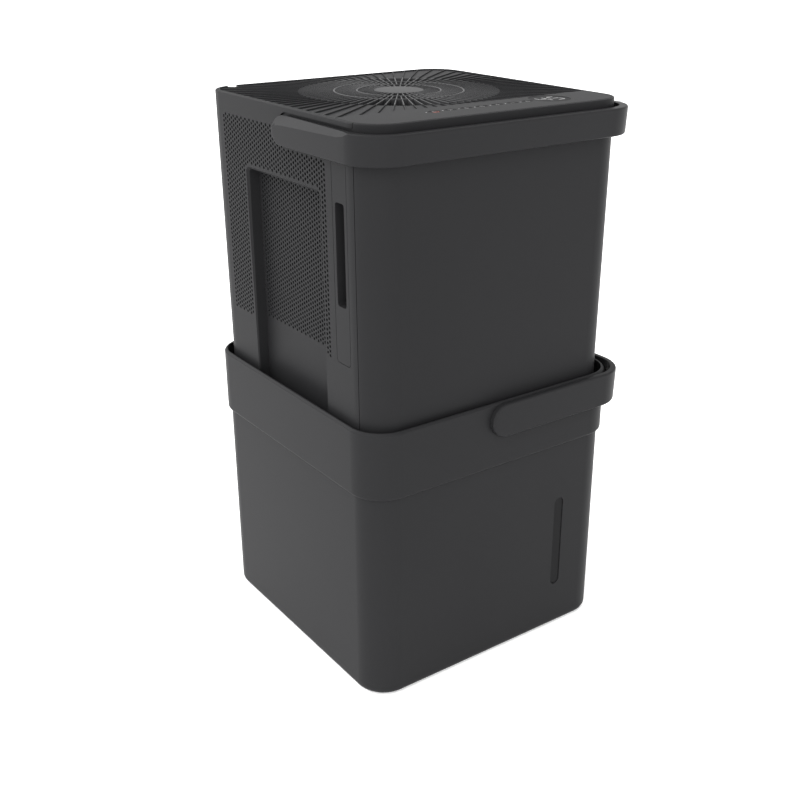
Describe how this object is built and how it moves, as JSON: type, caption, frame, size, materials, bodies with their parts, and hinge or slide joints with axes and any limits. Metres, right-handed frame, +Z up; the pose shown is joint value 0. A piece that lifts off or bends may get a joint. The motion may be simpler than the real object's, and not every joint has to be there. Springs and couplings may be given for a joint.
{
  "type": "dehumidifier",
  "caption": "Charcoal dehumidifier in two stacked halves: square head with radial top grille, side filter and front handle, standing in a square water bucket with side handle and level window.",
  "frame": {"origin": "centre of the bucket's underside, on the floor", "axes": "+Z up, front (water window and controls) faces -Y, +X to the right when facing the rear wall from the front, towards the bucket handle's bar"},
  "size_m": [0.345, 0.344, 0.601],
  "materials": {
    "housing": "fine matt charcoal moulding",
    "bucket_plastic": "fine matt charcoal moulding",
    "handle_plastic": "satin charcoal moulding",
    "grille_plastic": "satin dark grey moulding",
    "inner_plastic": "plain black moulding",
    "window_plastic": "smoked see-through moulding",
    "lens_plastic": "smooth dark display window",
    "clip_steel": "bright zinc",
    "fins": "bare fins",
    "copper": "bare copper tube",
    "compressor_paint": "black enamel",
    "motor_steel": "plated steel",
    "shaft_steel": "ground steel",
    "rubber": "soft black rubber",
    "net": "nylon net",
    "board": "green circuit board",
    "float_foam": "white moulding",
    "capacitor_can": "pale grey moulding"
  },
  "bodies": {
    "bucket": {"bucket_shell": "bucket_plastic", "front_post": "bucket_plastic", "rear_post": "bucket_plastic", "water_window": "window_plastic"},
    "bucket_handle_body": {"bucket_handle": "handle_plastic", "bucket_handle_clips": "clip_steel"},
    "head": {"base_pan": "inner_plastic", "front_cover": "housing", "left_side_panel": "housing", "right_side_panel": "housing", "rear_cover": "housing", "top_cover": "grille_plastic", "display_lens": "lens_plastic", "display_board": "board", "filter_guide": "inner_plastic", "coil_frame": "inner_plastic", "evaporator": "fins", "condenser": "fins", "drip_tray": "inner_plastic", "drain_tube": "inner_plastic", "compressor": "compressor_paint", "accumulator": "compressor_paint", "refrigerant_pipes": "copper", "compressor_feet": "rubber", "compressor_bolts": "clip_steel", "fan_deck": "inner_plastic", "fan_shroud": "inner_plastic", "fan_motor": "motor_steel", "motor_bracket": "motor_steel", "control_box": "inner_plastic", "run_capacitor": "capacitor_can", "float_switch": "inner_plastic", "cord_gland": "rubber", "casing_screws": "clip_steel"},
    "head_handle_body": {"head_handle": "handle_plastic", "head_handle_clips": "clip_steel"},
    "filter": {"filter_frame": "housing", "filter_mesh": "net"},
    "fan": {"fan_rotor": "inner_plastic", "motor_shaft": "shaft_steel"},
    "float_body": {"float": "float_foam", "float_clip": "clip_steel"},
    "bung": {"drain_bung": "rubber"}
  },
  "joints": [
    {"name": "head_lift", "type": "slide", "parent": "bucket", "child": "head", "axis": [0, 0, 1], "range_m": [0, 0.12]},
    {"name": "bucket_handle_hinge", "type": "hinge", "parent": "bucket", "child": "bucket_handle_body", "pos_m": [0, 0, 0.291], "axis": [0, -1, 0], "range_deg": [0, 16]},
    {"name": "head_handle_hinge", "type": "hinge", "parent": "head", "child": "head_handle_body", "pos_m": [0, -0.016, 0.5795], "axis": [-1, 0, 0], "range_deg": [0, 90]},
    {"name": "filter_slide", "type": "slide", "parent": "head", "child": "filter", "axis": [-1, 0, 0], "range_m": [0, 0.28]},
    {"name": "fan_spin", "type": "hinge", "parent": "head", "child": "fan", "pos_m": [0, 0.0205, 0.53], "axis": [0, 0, 1], "continuous": true},
    {"name": "float_rise", "type": "slide", "parent": "head", "child": "float_body", "axis": [0, 0, 1], "range_m": [0, 0.008]},
    {"name": "bung_pull", "type": "slide", "parent": "head", "child": "bung", "axis": [0, 1, 0], "range_m": [0, 0.035]}
  ]
}
